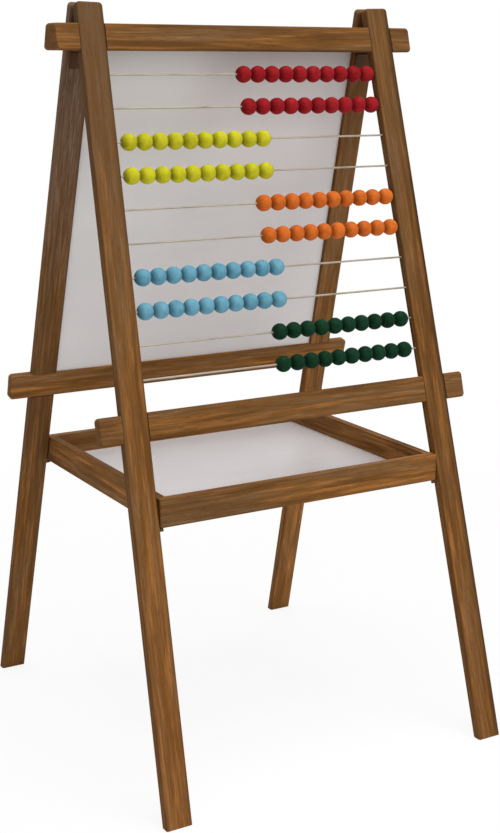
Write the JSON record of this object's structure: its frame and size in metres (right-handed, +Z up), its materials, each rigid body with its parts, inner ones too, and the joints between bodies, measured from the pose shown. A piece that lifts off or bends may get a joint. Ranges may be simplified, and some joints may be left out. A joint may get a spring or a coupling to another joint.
{
  "type": "kids easel",
  "caption": "Folding wooden A-frame easel for children, with a bead abacus between the front legs, a white board in the rear frame and a tray between the legs.",
  "frame": {"origin": "on the floor, midway between the four feet", "axes": "+Z up; the abacus frame is the front, at -Y, and the board frame the rear, at +Y; +X to the right as seen from the front"},
  "size_m": [0.6476, 0.667, 1.1445],
  "materials": {
    "stained_wood": "satin walnut stain",
    "dowel_wood": "raw",
    "white_panel": "satin melamine",
    "rod_brass": "satin",
    "hinge_steel": "dark bronzed",
    "peg_steel": "dark bronzed",
    "red_paint": "satin paint",
    "yellow_paint": "satin paint",
    "orange_paint": "satin paint",
    "blue_paint": "satin paint",
    "green_paint": "satin paint"
  },
  "bodies": {
    "front_frame": {"front_leg_left": "stained_wood", "front_leg_right": "stained_wood", "front_cross_rail": "stained_wood", "top_rail": "stained_wood", "abacus_rod_1": "rod_brass", "abacus_rod_2": "rod_brass", "abacus_rod_3": "rod_brass", "abacus_rod_4": "rod_brass", "abacus_rod_5": "rod_brass", "abacus_rod_6": "rod_brass", "abacus_rod_7": "rod_brass", "abacus_rod_8": "rod_brass", "abacus_rod_9": "rod_brass", "abacus_rod_10": "rod_brass", "front_tray_pegs": "peg_steel", "hinge_rail_leaf_left": "hinge_steel", "hinge_rail_leaf_right": "hinge_steel", "hinge_pin_left": "hinge_steel", "hinge_pin_right": "hinge_steel", "hinge_rail_screws": "hinge_steel"},
    "rear_frame": {"rear_leg_left": "stained_wood", "rear_leg_right": "stained_wood", "rear_cross_rail": "stained_wood", "white_board": "white_panel", "rear_tray_pegs": "peg_steel", "hinge_leg_leaf_left": "hinge_steel", "hinge_leg_leaf_right": "hinge_steel", "hinge_leg_screws": "hinge_steel"},
    "tray": {"tray_front_rail": "stained_wood", "tray_rear_rail": "stained_wood", "tray_left_rail": "stained_wood", "tray_right_rail": "stained_wood", "tray_panel": "white_panel", "tray_corner_dowels": "dowel_wood"},
    "red_beads_upper": {"red_beads_upper": "red_paint"},
    "red_beads_lower": {"red_beads_lower": "red_paint"},
    "yellow_beads_upper": {"yellow_beads_upper": "yellow_paint"},
    "yellow_beads_lower": {"yellow_beads_lower": "yellow_paint"},
    "orange_beads_upper": {"orange_beads_upper": "orange_paint"},
    "orange_beads_lower": {"orange_beads_lower": "orange_paint"},
    "blue_beads_upper": {"blue_beads_upper": "blue_paint"},
    "blue_beads_lower": {"blue_beads_lower": "blue_paint"},
    "green_beads_upper": {"green_beads_upper": "green_paint"},
    "green_beads_lower": {"green_beads_lower": "green_paint"}
  },
  "joints": [
    {"name": "rear_frame_fold", "type": "hinge", "parent": "front_frame", "child": "rear_frame", "pos_m": [0, 0.01645, 1.07304], "axis": [-1, 0, 0], "range_deg": [0, 30.5]},
    {"name": "tray_pull_out", "type": "slide", "parent": "front_frame", "child": "tray", "axis": [0, -1, 0], "range_m": [0, 0.3]},
    {"name": "red_beads_upper_slide", "type": "slide", "parent": "front_frame", "child": "red_beads_upper", "axis": [1, 0, 0], "range_m": [-0.2123, 0]},
    {"name": "red_beads_lower_slide", "type": "slide", "parent": "front_frame", "child": "red_beads_lower", "axis": [1, 0, 0], "range_m": [-0.215, 0]},
    {"name": "yellow_beads_upper_slide", "type": "slide", "parent": "front_frame", "child": "yellow_beads_upper", "axis": [1, 0, 0], "range_m": [-0.0082, 0.2096]},
    {"name": "yellow_beads_lower_slide", "type": "slide", "parent": "front_frame", "child": "yellow_beads_lower", "axis": [1, 0, 0], "range_m": [-0.0068, 0.2137]},
    {"name": "orange_beads_upper_slide", "type": "slide", "parent": "front_frame", "child": "orange_beads_upper", "axis": [1, 0, 0], "range_m": [-0.2231, 0]},
    {"name": "orange_beads_lower_slide", "type": "slide", "parent": "front_frame", "child": "orange_beads_lower", "axis": [1, 0, 0], "range_m": [-0.2254, 0]},
    {"name": "blue_beads_upper_slide", "type": "slide", "parent": "front_frame", "child": "blue_beads_upper", "axis": [1, 0, 0], "range_m": [-0.0064, 0.2222]},
    {"name": "blue_beads_lower_slide", "type": "slide", "parent": "front_frame", "child": "blue_beads_lower", "axis": [1, 0, 0], "range_m": [-0.0046, 0.2267]},
    {"name": "green_beads_upper_slide", "type": "slide", "parent": "front_frame", "child": "green_beads_upper", "axis": [1, 0, 0], "range_m": [-0.226, 0.008]},
    {"name": "green_beads_lower_slide", "type": "slide", "parent": "front_frame", "child": "green_beads_lower", "axis": [1, 0, 0], "range_m": [-0.2264, 0.0103]}
  ]
}
